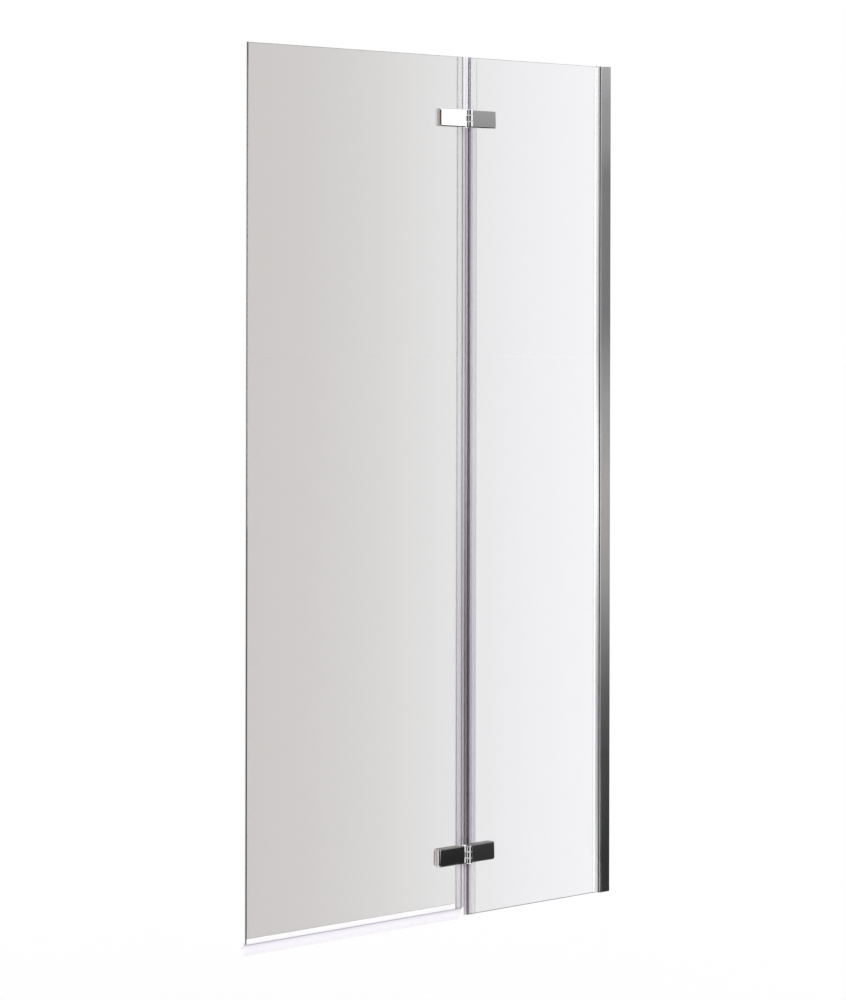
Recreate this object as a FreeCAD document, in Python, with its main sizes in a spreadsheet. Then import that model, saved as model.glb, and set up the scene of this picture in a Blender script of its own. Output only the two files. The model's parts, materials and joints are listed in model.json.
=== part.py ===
import FreeCAD, Part
import os
import Sketcher

# Bath screen of two glass panels. The narrow one is held in a profile on the wall, and the wide
# one folds on it about two barrel hinges.
# Frame: +Z up, x = 0 at the wall, the panels run along -X, y = 0 in the middle of the glass,
# the barrels stand in front on the -Y side, and z = 0 at half the screen's height.

SIZES = {
    # the screen as a whole
    "screen_height": 1400,
    "screen_width": 800,
    "axis_from_wall": 334,
    "glass_thickness": 6,
    "glass_arris": 0.6,
    "glass_gap": 16,
    "rim_gap": 13,
    # channel on the wall
    "channel_depth": 24,
    "channel_thickness": 17,
    "channel_wall": 1.5,
    "channel_round": 0.8,
    "channel_play": 0.3,
    "wall_hole_diameter": 5.5,
    "wall_hole_inset": 100,
    "wall_hole_count": 4,
    # channel that holds the fixed glass and slides in the one on the wall
    "frame_reach": 28,
    "frame_wall": 1.2,
    "frame_web": 1.5,
    "glass_pocket": 14,
    "leg_from_wall": 5,
    # gasket between this channel and the glass
    "gasket_floor": 2,
    "gasket_lip": 1.5,
    "gasket_lip_height": 3,
    # cap on top of the profile
    "cap_thickness": 1.5,
    "cap_play": 0.3,
    "cap_plug": 8,
    # screws that lock the two channels, from the back
    "side_screw_from_wall": 9,
    "side_screw_inset": 200,
    "side_screw_count": 3,
    "side_screw_diameter": 3.5,
    "side_screw_head": 6.5,
    "side_screw_head_height": 2,
    # hinges
    "hinge_offset": 100,
    "hinge_height": 29,
    "hinge_reach": 63,
    "leaf_thickness": 4,
    "leaf_corner": 3,
    "leaf_bevel": 1.4,
    "pad_thickness": 1,
    "pad_inset": 1,
    "clamp_margin": 1,
    "axis_offset": 11,
    "barrel_diameter": 12,
    "outer_knuckle": 9,
    "knuckle_play": 0.4,
    "pin_diameter": 5,
    "pin_end": 1,
    "bush_wall": 1,
    "bush_flange": 0.5,
    "flange_inset": 0.4,
    "running_play": 0.05,
    "seat_play": 0.05,
    "clamp_screw_place": 36,
    "clamp_screw_diameter": 6,
    "clamp_screw_head": 11,
    "clamp_screw_head_height": 3,
    "clamp_screw_socket": 4,
    "clamp_screw_hole": 6.5,
    "clamp_screw_end_gap": 0.5,
    "leaf_skin": 1,
    "glass_hole": 14,
    # clear seals on the meeting edges
    "seal_leg": 14.5,
    "seal_wall": 1,
    "bulb_wall": 0.8,
    "seal_meeting_gap": 0.4,
    "seal_end_gap": 1.5,
    # clear seal under the moving panel
    "bottom_leg": 9,
    "wiper_drop": 17.5,
    "wiper_lean": 6,
    "wiper_thickness": 1,
    "drip_reach": 11.4,
    "drip_drop": 7.5,
    "drip_root": 2,
    "drip_edge": 0.8,
}

doc = FreeCAD.newDocument("bath_screen")
sheet = doc.addObject("Spreadsheet::Sheet", "sizes")
for row, (alias, number) in enumerate(SIZES.items(), start=1):
    sheet.set(f"A{row}", alias)
    sheet.set(f"B{row}", str(number))
    sheet.setAlias(f"B{row}", alias)
doc.recompute()

# Heights
TOP = "(sizes.screen_height / 2)"
BOTTOM = f"(-{TOP})"
MOVING_BOTTOM = f"({BOTTOM} + sizes.rim_gap)"
PROFILE_TOP = f"({TOP} - sizes.cap_thickness)"
HINGE_LEVEL = f"({TOP} - sizes.hinge_offset)"
LEVELS = {"upper": HINGE_LEVEL, "lower": f"(-{HINGE_LEVEL})"}

# Depths from the wall and half thicknesses
AXIS = "(-sizes.axis_from_wall)"
HALF_GLASS = "(sizes.glass_thickness / 2)"
HALF_GAP = "(sizes.glass_gap / 2)"
HALF_CHANNEL = "(sizes.channel_thickness / 2)"
HALF_FRAME = f"({HALF_CHANNEL} - sizes.channel_wall - sizes.channel_play)"
HALF_POCKET = f"({HALF_FRAME} - sizes.frame_wall)"
POCKET_FLOOR = "(sizes.frame_reach - sizes.glass_pocket)"
WEB_BACK = f"({POCKET_FLOOR} - sizes.frame_web)"
GLASS_EDGE = f"({POCKET_FLOOR} + sizes.gasket_floor)"

# Hinge, from its own axis: positive y goes back towards the glass
PLATE_BACK = f"(sizes.axis_offset - {HALF_GLASS} - sizes.pad_thickness)"
PLATE_FRONT = f"({PLATE_BACK} - sizes.leaf_thickness)"
CLAMP_FRONT = f"(sizes.axis_offset + {HALF_GLASS} + sizes.pad_thickness)"
CLAMP_BACK = f"({CLAMP_FRONT} + sizes.leaf_thickness)"
BARREL_RADIUS = "(sizes.barrel_diameter / 2)"
LEAF_START = f"({BARREL_RADIUS} + sizes.knuckle_play)"
CLAMP_START = f"({HALF_GAP} + sizes.clamp_margin)"
HALF_HINGE = "(sizes.hinge_height / 2)"
MIDDLE_HALF = f"({HALF_HINGE} - sizes.outer_knuckle - sizes.bush_flange)"
SCREW_PLACE = "sizes.clamp_screw_place"


def value(text):
    """The number that an expression gives now."""
    return float(sheet.evalExpression(text))


def new_body(name, x="0", y="0", z="0"):
    body = doc.addObject("PartDesign::Body", name)
    body.Label = name
    for letter, place in zip("xyz", (x, y, z)):
        if place != "0":
            body.setExpression(f"Placement.Base.{letter}", place)
    return body


def new_sketch(body, role, offset="0"):
    """An empty sketch on one of the body's own planes, or at an offset along its normal."""
    sketch = body.newObject("Sketcher::SketchObject", f"{body.Name}_sketch")
    plane = next(datum for datum in body.Origin.OriginFeatures if datum.Role == role)
    sketch.AttachmentSupport = [(plane, "")]
    sketch.MapMode = "FlatFace"
    if offset != "0":
        sketch.setExpression("AttachmentOffset.Base.z", offset)
    return sketch


def measure(sketch, constraint, text):
    number = sketch.addConstraint(constraint)
    sketch.setExpression(f"Constraints[{number}]", text)


def hold(sketch, edge, point, across, up):
    """Holds a point of an edge at its two coordinates from the sketch's origin."""
    for kind, axis, text in (("DistanceX", -2, across), ("DistanceY", -1, up)):
        if text == "0":
            sketch.addConstraint(Sketcher.Constraint("PointOnObject", edge, point, axis))
        else:
            measure(sketch, Sketcher.Constraint(kind, -1, 1, edge, point, value(text)), text)


def polygon(sketch, corners):
    """A closed outline of straight edges through the corners."""
    places = [FreeCAD.Vector(value(across), value(up)) for across, up in corners]
    first = sketch.GeometryCount
    for here, there in zip(places, places[1:] + places[:1]):
        sketch.addGeometry(Part.LineSegment(here, there), False)
    for number, (across, up) in enumerate(corners):
        edge = first + number
        before = first + (number - 1) % len(corners)
        sketch.addConstraint(Sketcher.Constraint("Coincident", before, 2, edge, 1))
        hold(sketch, edge, 1, across, up)


def circle(sketch, across, up, radius):
    centre = FreeCAD.Vector(value(across), value(up))
    round_edge = Part.Circle(centre, FreeCAD.Vector(0, 0, 1), value(radius))
    edge = sketch.addGeometry(round_edge, False)
    measure(sketch, Sketcher.Constraint("Radius", edge, value(radius)), radius)
    hold(sketch, edge, 3, across, up)


def add_feature(body, kind, **settings):
    """A feature at the body's tip. Text settings are expressions, the others plain values."""
    feature = body.newObject(f"PartDesign::{kind}", f"{body.Name}_{kind.lower()}")
    for key, setting in settings.items():
        if isinstance(setting, str):
            feature.setExpression(key, setting)
        else:
            setattr(feature, key, setting)
    body.Tip = feature
    doc.recompute()
    return feature


def turned(body, role, corners):
    """Turns an outline about the sketch's upright axis."""
    sketch = new_sketch(body, role)
    polygon(sketch, corners)
    return add_feature(body, "Revolution", Profile=sketch, ReferenceAxis=(sketch, ["V_Axis"]), Angle=360)


def names_of(feature, kind, test):
    pieces = getattr(feature.Shape, f"{kind}s")
    return [f"{kind}{number}" for number, piece in enumerate(pieces, start=1) if test(piece)]


def faces_towards(feature, x, y, z):
    """Names of the flat faces whose outward normal is the given direction."""
    way = FreeCAD.Vector(x, y, z)
    return names_of(feature, "Face", lambda face: face.normalAt(0, 0).dot(way) > 0.999)


def edges_along(feature, x, y, z, test=lambda edge: True):
    """Names of the straight edges along a direction that also pass the test."""
    way = FreeCAD.Vector(x, y, z)

    def runs_along(edge):
        straight = edge.Curve.TypeId == "Part::GeomLine"
        return straight and abs(edge.tangentAt(edge.FirstParameter).dot(way)) > 0.999 and test(edge)

    return names_of(feature, "Edge", runs_along)


def length_of_profile(name, corners, bottom, top):
    """A straight upright length of a profile, from its outline seen from above."""
    body = new_body(name, z=bottom)
    sketch = new_sketch(body, "XY_Plane")
    polygon(sketch, corners)
    add_feature(body, "Pad", Profile=sketch, Length=f"{top} - {bottom}")
    return body


def group(name, members):
    """Separate solids that share one node."""
    whole = doc.addObject("Part::Compound", name)
    whole.Label = name
    whole.Links = members
    return whole


def mirrored_outline(half):
    """A closed outline that is the same on both sides of the glass, from its half at +y."""
    other = [(across, f"(-{up})") for across, up in reversed(half)]
    return half + other


def out_from_axis(side, text):
    """A distance from the hinge axis along X, towards the wall on the fixed side."""
    return text if side == "fixed" else f"(-{text})"


# Wall profile


def side_screw_spacing():
    return f"({PROFILE_TOP} - {BOTTOM} - 2 * sizes.side_screw_inset) / (sizes.side_screw_count - 1)"


def make_wall_channel():
    half = [
        ("0", HALF_CHANNEL),
        ("-sizes.channel_depth", HALF_CHANNEL),
        ("-sizes.channel_depth", f"({HALF_CHANNEL} - sizes.channel_wall)"),
        ("-sizes.channel_wall", f"({HALF_CHANNEL} - sizes.channel_wall)"),
    ]
    body = length_of_profile("wall_channel", mirrored_outline(half), BOTTOM, PROFILE_TOP)
    mouth = value("-sizes.channel_depth")
    outside = value(HALF_CHANNEL)
    corners = edges_along(body.Tip, 0, 0, 1, lambda edge: abs(edge.CenterOfMass.x - mouth) < 1e-6
                          and abs(abs(edge.CenterOfMass.y) - outside) < 1e-6)
    add_feature(body, "Fillet", Base=(body.Tip, corners), Radius="sizes.channel_round")
    sketch = new_sketch(body, "YZ_Plane")
    circle(sketch, "0", "sizes.wall_hole_inset", "sizes.wall_hole_diameter / 2")
    pocket = add_feature(body, "Pocket", Profile=sketch, Length="sizes.channel_wall")
    add_feature(body, "LinearPattern", Originals=[pocket], Direction=(sketch, ["V_Axis"]),
                Length="sizes.screen_height - 2 * sizes.wall_hole_inset",
                Occurrences="sizes.wall_hole_count")
    sketch = new_sketch(body, "XZ_Plane")
    radius = "sizes.side_screw_diameter / 2 + sizes.seat_play"
    circle(sketch, "-sizes.side_screw_from_wall", "sizes.side_screw_inset", radius)
    pocket = add_feature(body, "Pocket", Profile=sketch, Length="sizes.channel_thickness")
    add_feature(body, "LinearPattern", Originals=[pocket], Direction=(sketch, ["V_Axis"]),
                Length=f"{side_screw_spacing()} * (sizes.side_screw_count - 1)",
                Occurrences="sizes.side_screw_count")
    return body


def make_glass_channel():
    half = [
        ("-sizes.leg_from_wall", HALF_FRAME),
        ("-sizes.frame_reach", HALF_FRAME),
        ("-sizes.frame_reach", HALF_POCKET),
        (f"-{POCKET_FLOOR}", HALF_POCKET),
    ]
    back = [
        (f"-{WEB_BACK}", HALF_POCKET),
        ("-sizes.leg_from_wall", HALF_POCKET),
    ]
    mirrored_back = [(across, f"(-{up})") for across, up in reversed(back)]
    outline = mirrored_outline(half) + mirrored_back + back
    return length_of_profile("glass_channel", outline, BOTTOM, PROFILE_TOP)


def make_glazing_gasket():
    lip_front = "-(sizes.frame_reach + sizes.gasket_lip)"
    lip_side = f"({HALF_GLASS} + sizes.gasket_lip_height)"
    half = [
        (f"-{POCKET_FLOOR}", HALF_POCKET),
        ("-sizes.frame_reach", HALF_POCKET),
        ("-sizes.frame_reach", lip_side),
        (lip_front, lip_side),
        (lip_front, HALF_GLASS),
        (f"-{GLASS_EDGE}", HALF_GLASS),
    ]
    return length_of_profile("glazing_gasket", mirrored_outline(half), BOTTOM, PROFILE_TOP)


def make_top_cap():
    """A slotted plate over both channels, with a plug between the legs of the inner one."""
    slot = f"({HALF_GLASS} + sizes.cap_play)"
    half = [
        ("0", HALF_CHANNEL),
        ("-sizes.channel_depth", HALF_CHANNEL),
        ("-sizes.channel_depth", HALF_FRAME),
        ("-sizes.frame_reach", HALF_FRAME),
        ("-sizes.frame_reach", slot),
        (f"-({GLASS_EDGE} - sizes.cap_play)", slot),
    ]
    body = length_of_profile("profile_top_cap", mirrored_outline(half), PROFILE_TOP, TOP)
    side = f"({HALF_POCKET} - sizes.cap_play)"
    plug = [
        ("-(sizes.channel_wall + sizes.cap_play)", side),
        (f"-({WEB_BACK} - sizes.cap_play)", side),
    ]
    sketch = new_sketch(body, "XY_Plane")
    polygon(sketch, mirrored_outline(plug))
    add_feature(body, "Pad", Profile=sketch, Length="sizes.cap_plug", Reversed=True)
    return body


def make_side_screws():
    """Pan-head screws from the back that press on the inner channel where it fits the wall."""
    screws = []
    head = "(sizes.side_screw_head / 2)"
    shank = "(sizes.side_screw_diameter / 2)"
    length = "(sizes.channel_wall + sizes.channel_play)"
    outline = [
        ("0", f"-{length}"),
        (shank, f"-{length}"),
        (shank, "0"),
        (head, "0"),
        (head, "sizes.side_screw_head_height"),
        ("0", "sizes.side_screw_head_height"),
    ]
    for number in range(int(value("sizes.side_screw_count"))):
        level = f"{BOTTOM} + sizes.side_screw_inset + {number} * {side_screw_spacing()}"
        screw = new_body(f"side_screw_{number + 1}", "-sizes.side_screw_from_wall", HALF_CHANNEL, level)
        turned(screw, "XY_Plane", outline)
        screws.append(screw)
    return group("channel_side_screws", screws)


# Glass


def make_glass(name, side, edges, bottom):
    """A toughened pane with arrised edges and the holes for the clamps of both hinges."""
    body = new_body(name)
    sketch = new_sketch(body, "XZ_Plane")
    near, far = edges
    polygon(sketch, [(near, bottom), (near, TOP), (far, TOP), (far, bottom)])
    add_feature(body, "Pad", Profile=sketch, Length="sizes.glass_thickness", Midplane=True)
    faces = faces_towards(body.Tip, 0, 1, 0) + faces_towards(body.Tip, 0, -1, 0)
    add_feature(body, "Chamfer", Base=(body.Tip, faces), Size="sizes.glass_arris")
    holes = new_sketch(body, "XZ_Plane")
    across = f"{AXIS} + {out_from_axis(side, SCREW_PLACE)}"
    circle(holes, across, LEVELS["lower"], "sizes.glass_hole / 2")
    pocket = add_feature(body, "Pocket", Profile=holes, Length="2 * sizes.glass_thickness", Midplane=True)
    add_feature(body, "LinearPattern", Originals=[pocket], Direction=(holes, ["V_Axis"]),
                Length="sizes.screen_height - 2 * sizes.hinge_offset", Occurrences=2)
    return body


# Seals


def make_edge_seal(name, side, bottom, top):
    """A clip over the glass edge with a hollow round nose that meets the other panel's."""
    body = new_body(name, z=bottom)
    sketch = new_sketch(body, "XY_Plane")
    skin = f"({HALF_GLASS} + sizes.seal_wall)"
    chamber = f"({skin} - sizes.bulb_wall)"
    centre = f"(sizes.seal_meeting_gap / 2 + {skin})"
    end = f"({HALF_GAP} + sizes.seal_leg)"
    clip = [(centre, skin), (end, skin), (end, HALF_GLASS), (HALF_GAP, HALF_GLASS)]
    hollow = [(centre, chamber), (f"({HALF_GAP} - sizes.seal_wall)", chamber)]
    for half in (clip, hollow):
        placed = [(f"{AXIS} + {out_from_axis(side, across)}", up) for across, up in half]
        nosed_outline(sketch, mirrored_outline(placed), f"{AXIS} + {out_from_axis(side, centre)}")
    add_feature(body, "Pad", Profile=sketch, Length=f"{top} - {bottom}")
    return body


def nosed_outline(sketch, corners, centre):
    """Straight edges from the first corner to the last, closed by a half circle about the centre."""
    places = [FreeCAD.Vector(value(across), value(up)) for across, up in corners]
    first = sketch.GeometryCount
    last = first + len(corners) - 2
    for here, there in zip(places, places[1:]):
        sketch.addGeometry(Part.LineSegment(here, there), False)
    away = -1 if value(centre) < places[1].x else 1
    nose = FreeCAD.Vector(value(centre) + away * abs(places[0].y), 0)
    arc = sketch.addGeometry(Part.Arc(places[0], nose, places[-1]), False)
    for number, corner in enumerate(corners[:-1]):
        hold(sketch, first + number, 1, *corner)
    hold(sketch, last, 2, *corners[-1])
    for number in range(first, last):
        sketch.addConstraint(Sketcher.Constraint("Coincident", number, 2, number + 1, 1))
    sketch.addConstraint(Sketcher.Constraint("Coincident", first, 1, arc, end_of_arc(sketch, arc, "upper")))
    sketch.addConstraint(Sketcher.Constraint("Coincident", last, 2, arc, end_of_arc(sketch, arc, "lower")))
    measure(sketch, Sketcher.Constraint("DistanceX", -1, 1, arc, 3, value(centre)), centre)


def make_edge_seals(side, foot):
    """Three lengths on one glass edge: above, between and below the hinges."""
    half_break = f"({HALF_HINGE} + sizes.seal_end_gap)"
    ends = {
        "top": (f"({LEVELS['upper']} + {half_break})", TOP),
        "middle": (f"({LEVELS['lower']} + {half_break})", f"({LEVELS['upper']} - {half_break})"),
        "bottom": (foot, f"({LEVELS['lower']} - {half_break})"),
    }
    return [make_edge_seal(f"{side}_seal_{part}", side, *span) for part, span in ends.items()]


def make_bottom_seal():
    """A clip under the moving glass with a curved wiper and a drip fin towards the bath.

    The legs of the clip are cut back to let the upright seal reach the foot of the glass.
    """
    body = new_body("bottom_seal", x=f"{AXIS} - {HALF_GAP}", z=MOVING_BOTTOM)
    run = f"sizes.screen_width - sizes.axis_from_wall - {HALF_GAP}"
    clip = new_sketch(body, "YZ_Plane")
    side = f"({HALF_GLASS} + sizes.seal_wall)"
    half = [
        ("-sizes.seal_wall", side),
        ("sizes.bottom_leg", side),
        ("sizes.bottom_leg", HALF_GLASS),
        ("0", HALF_GLASS),
    ]
    polygon(clip, [(across, up) for up, across in mirrored_outline(half)])
    add_feature(body, "Pad", Profile=clip, Length=run, Reversed=True)
    corner = new_sketch(body, "XZ_Plane")
    notch = "(-(sizes.seal_leg + sizes.seal_meeting_gap))"
    polygon(corner, [("0", "0"), (notch, "0"), (notch, "sizes.bottom_leg"), ("0", "sizes.bottom_leg")])
    add_feature(body, "Pocket", Profile=corner, Length=f"4 * {side}", Midplane=True)
    wiper = new_sketch(body, "YZ_Plane")
    draw_wiper(wiper)
    add_feature(body, "Pad", Profile=wiper, Length=run, Reversed=True)
    drip = new_sketch(body, "YZ_Plane")
    tip = "-(sizes.seal_wall + sizes.drip_drop)"
    polygon(drip, [
        (f"({side} - sizes.drip_root)", "-sizes.seal_wall"),
        (side, "-sizes.seal_wall"),
        ("sizes.drip_reach", f"{tip} + sizes.drip_edge"),
        ("sizes.drip_reach", tip),
    ])
    add_feature(body, "Pad", Profile=drip, Length=run, Reversed=True)
    return body


def draw_wiper(sketch):
    """A fin between two arcs that leave the clip straight down and lean towards the bath."""
    radius = "((sizes.wiper_drop ^ 2 + sizes.wiper_lean ^ 2) / (2 * sizes.wiper_lean))"
    root = "-sizes.seal_wall"
    tip = "-(sizes.seal_wall + sizes.wiper_drop)"
    arcs = []
    for half in ("- sizes.wiper_thickness / 2", "+ sizes.wiper_thickness / 2"):
        size = f"({radius} {half})"
        centre = FreeCAD.Vector(value(radius), value(root))
        end_height = value(tip)
        reach = (value(size) ** 2 - value("sizes.wiper_drop") ** 2) ** 0.5
        start = centre - FreeCAD.Vector(value(size), 0)
        end = FreeCAD.Vector(centre.x - reach, end_height)
        bow = centre + (start - centre + end - centre).normalize() * value(size)
        arc = sketch.addGeometry(Part.Arc(start, bow, end), False)
        measure(sketch, Sketcher.Constraint("Radius", arc, value(size)), size)
        hold(sketch, arc, 3, radius, root)
        arcs.append(arc)
    for point_at, height in (("upper", root), ("lower", tip)):
        points = [end_of_arc(sketch, arc, point_at) for arc in arcs]
        places = [sketch.getPoint(arc, point) for arc, point in zip(arcs, points)]
        line = sketch.addGeometry(Part.LineSegment(*places), False)
        for number, (arc, point) in enumerate(zip(arcs, points), start=1):
            sketch.addConstraint(Sketcher.Constraint("Coincident", line, number, arc, point))
            drop = Sketcher.Constraint("DistanceY", -1, 1, arc, point, value(height))
            measure(sketch, drop, height)


def end_of_arc(sketch, arc, which):
    """The number of an arc's upper end or of its lower end."""
    heights = {point: sketch.getPoint(arc, point).y for point in (1, 2)}
    pick = max if which == "upper" else min
    return pick(heights, key=heights.get)


# Hinges


def hinge_body(name, level):
    return new_body(name, x=AXIS, y="-sizes.axis_offset", z=LEVELS[level])


def plate(body, side, start, end, margin, depth, thickness):
    """A flat plate with round corners: from start to end along X, its back face at a depth."""
    sketch = new_sketch(body, "XZ_Plane", f"-{depth}")
    upright = f"({HALF_HINGE} - {margin})"
    near = out_from_axis(side, start)
    far = out_from_axis(side, f"({end} - {margin})")
    polygon(sketch, [(near, f"-{upright}"), (near, upright), (far, upright), (far, f"-{upright}")])
    return add_feature(body, "Pad", Profile=sketch, Length=thickness)


def round_corners(body, radius, inner_end=0):
    """Rounds the corners seen from the front, all of them or only those beyond the inner end."""
    corners = edges_along(body.Tip, 0, 1, 0, lambda edge: abs(edge.CenterOfMass.x) > inner_end + 1e-6)
    add_feature(body, "Fillet", Base=(body.Tip, corners), Radius=radius)


def screw_circle(body, side, depth, *diameters):
    sketch = new_sketch(body, "XZ_Plane", f"-{depth}")
    for diameter in diameters:
        circle(sketch, out_from_axis(side, SCREW_PLACE), "0", f"{diameter} / 2")
    return sketch


def add_knuckle(body, side, bottom, top, bore):
    """A knuckle and the web that carries it on the leaf, with its bore."""
    disc = new_sketch(body, "XY_Plane", bottom)
    circle(disc, "0", "0", BARREL_RADIUS)
    web = new_sketch(body, "XY_Plane", bottom)
    start = out_from_axis(side, LEAF_START)
    polygon(web, [("0", PLATE_FRONT), (start, PLATE_FRONT), (start, BARREL_RADIUS), ("0", BARREL_RADIUS)])
    tall = f"{top} - {bottom}"
    features = [add_feature(body, "Pad", Profile=sketch, Length=tall) for sketch in (web, disc)]
    hole = new_sketch(body, "XY_Plane", bottom)
    circle(hole, "0", "0", bore)
    features.append(add_feature(body, "Pocket", Profile=hole, Length=tall, Reversed=True))
    return features


def make_leaf(level, side):
    """Front leaf: a bevelled plate with a tapped blind hole in its back, and its knuckles."""
    body = hinge_body(f"{level}_{side}_leaf", level)
    plate(body, side, LEAF_START, "sizes.hinge_reach", "0", PLATE_BACK, "sizes.leaf_thickness")
    inner_end = value(LEAF_START)
    round_corners(body, "sizes.leaf_corner", inner_end)
    front = value(PLATE_FRONT)
    rim = names_of(body.Tip, "Edge", lambda edge: edge.BoundBox.YMax - front < 1e-6
                   and abs(edge.CenterOfMass.x) > inner_end + 1e-6)
    add_feature(body, "Chamfer", Base=(body.Tip, rim), Size="sizes.leaf_bevel")
    tapped = screw_circle(body, side, PLATE_BACK, "(sizes.clamp_screw_diameter + 2 * sizes.seat_play)")
    depth = "sizes.leaf_thickness - sizes.leaf_skin"
    add_feature(body, "Pocket", Profile=tapped, Length=depth, Reversed=True)
    if side == "moving":
        bore = "(sizes.pin_diameter / 2 + sizes.running_play + sizes.bush_wall + sizes.seat_play)"
        add_knuckle(body, side, f"(-{MIDDLE_HALF})", MIDDLE_HALF, bore)
    else:
        bore = "(sizes.pin_diameter / 2 + sizes.seat_play)"
        low = f"({HALF_HINGE} - sizes.outer_knuckle)"
        features = add_knuckle(body, side, low, HALF_HINGE, bore)
        plane = next(datum for datum in body.Origin.OriginFeatures if datum.Role == "XY_Plane")
        add_feature(body, "Mirrored", Originals=features, MirrorPlane=(plane, [""]))
    return body


def make_clamp(level, side):
    """Back plate with a hole for the clamp screw."""
    body = hinge_body(f"{level}_{side}_clamp", level)
    plate(body, side, CLAMP_START, "sizes.hinge_reach", "0", CLAMP_BACK, "sizes.leaf_thickness")
    round_corners(body, "sizes.leaf_corner")
    hole = screw_circle(body, side, CLAMP_BACK, "sizes.clamp_screw_hole")
    add_feature(body, "Pocket", Profile=hole, Length="sizes.leaf_thickness", Reversed=True)
    return body


def make_pads(side):
    """Soft pads on both faces of the glass. The front ones have a collar that lines the glass hole."""
    shank = "(sizes.clamp_screw_diameter + 2 * sizes.seat_play)"
    collar = "(sizes.glass_hole - 2 * sizes.seat_play)"
    faces = {"front": f"({PLATE_BACK} + sizes.pad_thickness)", "back": CLAMP_FRONT}
    pads = []
    for level in LEVELS:
        for face, depth in faces.items():
            body = hinge_body(f"{level}_{side}_pad_{face}", level)
            plate(body, side, CLAMP_START, "sizes.hinge_reach", "sizes.pad_inset", depth,
                  "sizes.pad_thickness")
            hole = screw_circle(body, side, depth, shank)
            add_feature(body, "Pocket", Profile=hole, Length="sizes.pad_thickness", Reversed=True)
            if face == "front":
                lining = screw_circle(body, side, depth, shank, collar)
                add_feature(body, "Pad", Profile=lining, Length="sizes.glass_thickness", Reversed=True)
            pads.append(body)
    return group(f"{side}_hinge_pads", pads)


def make_clamp_screws(side):
    """Socket-head screws through the clamps and the glass into the front leaves."""
    screws = []
    head = "(sizes.clamp_screw_head / 2)"
    crown = "sizes.clamp_screw_head_height"
    shank = "(sizes.clamp_screw_diameter / 2)"
    tapped_end = f"({PLATE_FRONT} + sizes.leaf_skin)"
    length = f"({CLAMP_BACK} - {tapped_end} - sizes.clamp_screw_end_gap)"
    outline = [
        ("0", f"-{length}"),
        (shank, f"-{length}"),
        (shank, "0"),
        (head, "0"),
        (head, crown),
        ("0", crown),
    ]
    across = f"{AXIS} + {out_from_axis(side, SCREW_PLACE)}"
    for level, height in LEVELS.items():
        screw = new_body(f"{level}_{side}_screw", across, f"{CLAMP_BACK} - sizes.axis_offset", height)
        turned(screw, "XY_Plane", outline)
        add_socket(screw)
        screws.append(screw)
    return group(f"{side}_hinge_screws", screws)


def add_socket(screw):
    """A hexagon socket as deep as half its width."""
    flat = "(sizes.clamp_screw_socket / 2)"
    corner = f"({flat} * 2 / sqrt(3))"
    right = [(corner, "0"), (f"({corner} / 2)", flat)]
    left = [(f"(-{corner} / 2)", flat), (f"(-{corner})", "0")]
    below = [(f"(-{corner} / 2)", f"(-{flat})"), (f"({corner} / 2)", f"(-{flat})")]
    sketch = new_sketch(screw, "XZ_Plane", "-sizes.clamp_screw_head_height")
    polygon(sketch, right + left + below)
    add_feature(screw, "Pocket", Profile=sketch, Length=flat, Reversed=True)


def make_pins():
    """Straight pins, fast in the outer knuckles, whose ends stand a little proud."""
    pins = []
    end = f"({HALF_HINGE} + sizes.pin_end)"
    for level in LEVELS:
        pin = hinge_body(f"{level}_pin", level)
        sketch = new_sketch(pin, "XY_Plane", f"-{end}")
        circle(sketch, "0", "0", "sizes.pin_diameter / 2")
        add_feature(pin, "Pad", Profile=sketch, Length=f"2 * {end}")
        pins.append(pin)
    return group("hinge_pins", pins)


def make_bushes():
    """Bushes in the middle knuckles, with flanges that keep the knuckles apart."""
    bushes = []
    bore = "(sizes.pin_diameter / 2 + sizes.running_play)"
    sleeve = f"({bore} + sizes.bush_wall)"
    edge = f"({BARREL_RADIUS} - sizes.flange_inset)"
    end = f"({MIDDLE_HALF} + sizes.bush_flange)"
    half = [(bore, end), (edge, end), (edge, MIDDLE_HALF), (sleeve, MIDDLE_HALF)]
    for level in LEVELS:
        bush = hinge_body(f"{level}_bush", level)
        turned(bush, "XZ_Plane", mirrored_outline(half))
        bushes.append(bush)
    return group("hinge_bushes", bushes)


nodes = [make_wall_channel(), make_glass_channel(), make_glazing_gasket(), make_top_cap()]
nodes.append(make_side_screws())
fixed_edges = (f"-{GLASS_EDGE}", f"{AXIS} + {HALF_GAP}")
moving_edges = (f"{AXIS} - {HALF_GAP}", "-sizes.screen_width")
nodes.append(make_glass("fixed_glass", "fixed", fixed_edges, BOTTOM))
nodes.append(make_glass("moving_glass", "moving", moving_edges, MOVING_BOTTOM))
nodes += make_edge_seals("fixed", BOTTOM)
nodes += make_edge_seals("moving", f"({MOVING_BOTTOM} + sizes.seal_meeting_gap)")
nodes.append(make_bottom_seal())
for panel in ("fixed", "moving"):
    for hinge_level in LEVELS:
        nodes.append(make_leaf(hinge_level, panel))
        nodes.append(make_clamp(hinge_level, panel))
    nodes.append(make_pads(panel))
    nodes.append(make_clamp_screws(panel))
nodes.append(make_pins())
nodes.append(make_bushes())

doc.recompute()
for item in doc.Objects:
    if "Invalid" in item.State or "Error" in item.State:
        raise RuntimeError(f"{item.Label} did not build: {item.State}")
for node in nodes:
    if node.Shape.isNull() or not node.Shape.isValid():
        raise RuntimeError(f"{node.Label} has no valid shape")

os.makedirs("parts", exist_ok=True)
for node in nodes:
    node.Shape.exportStep(f"parts/{node.Label}.step")
    print(node.Label, round(node.Shape.Volume, 1), len(node.Shape.Solids))
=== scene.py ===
import json
import math

import bpy
from mathutils import Matrix, Vector


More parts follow.
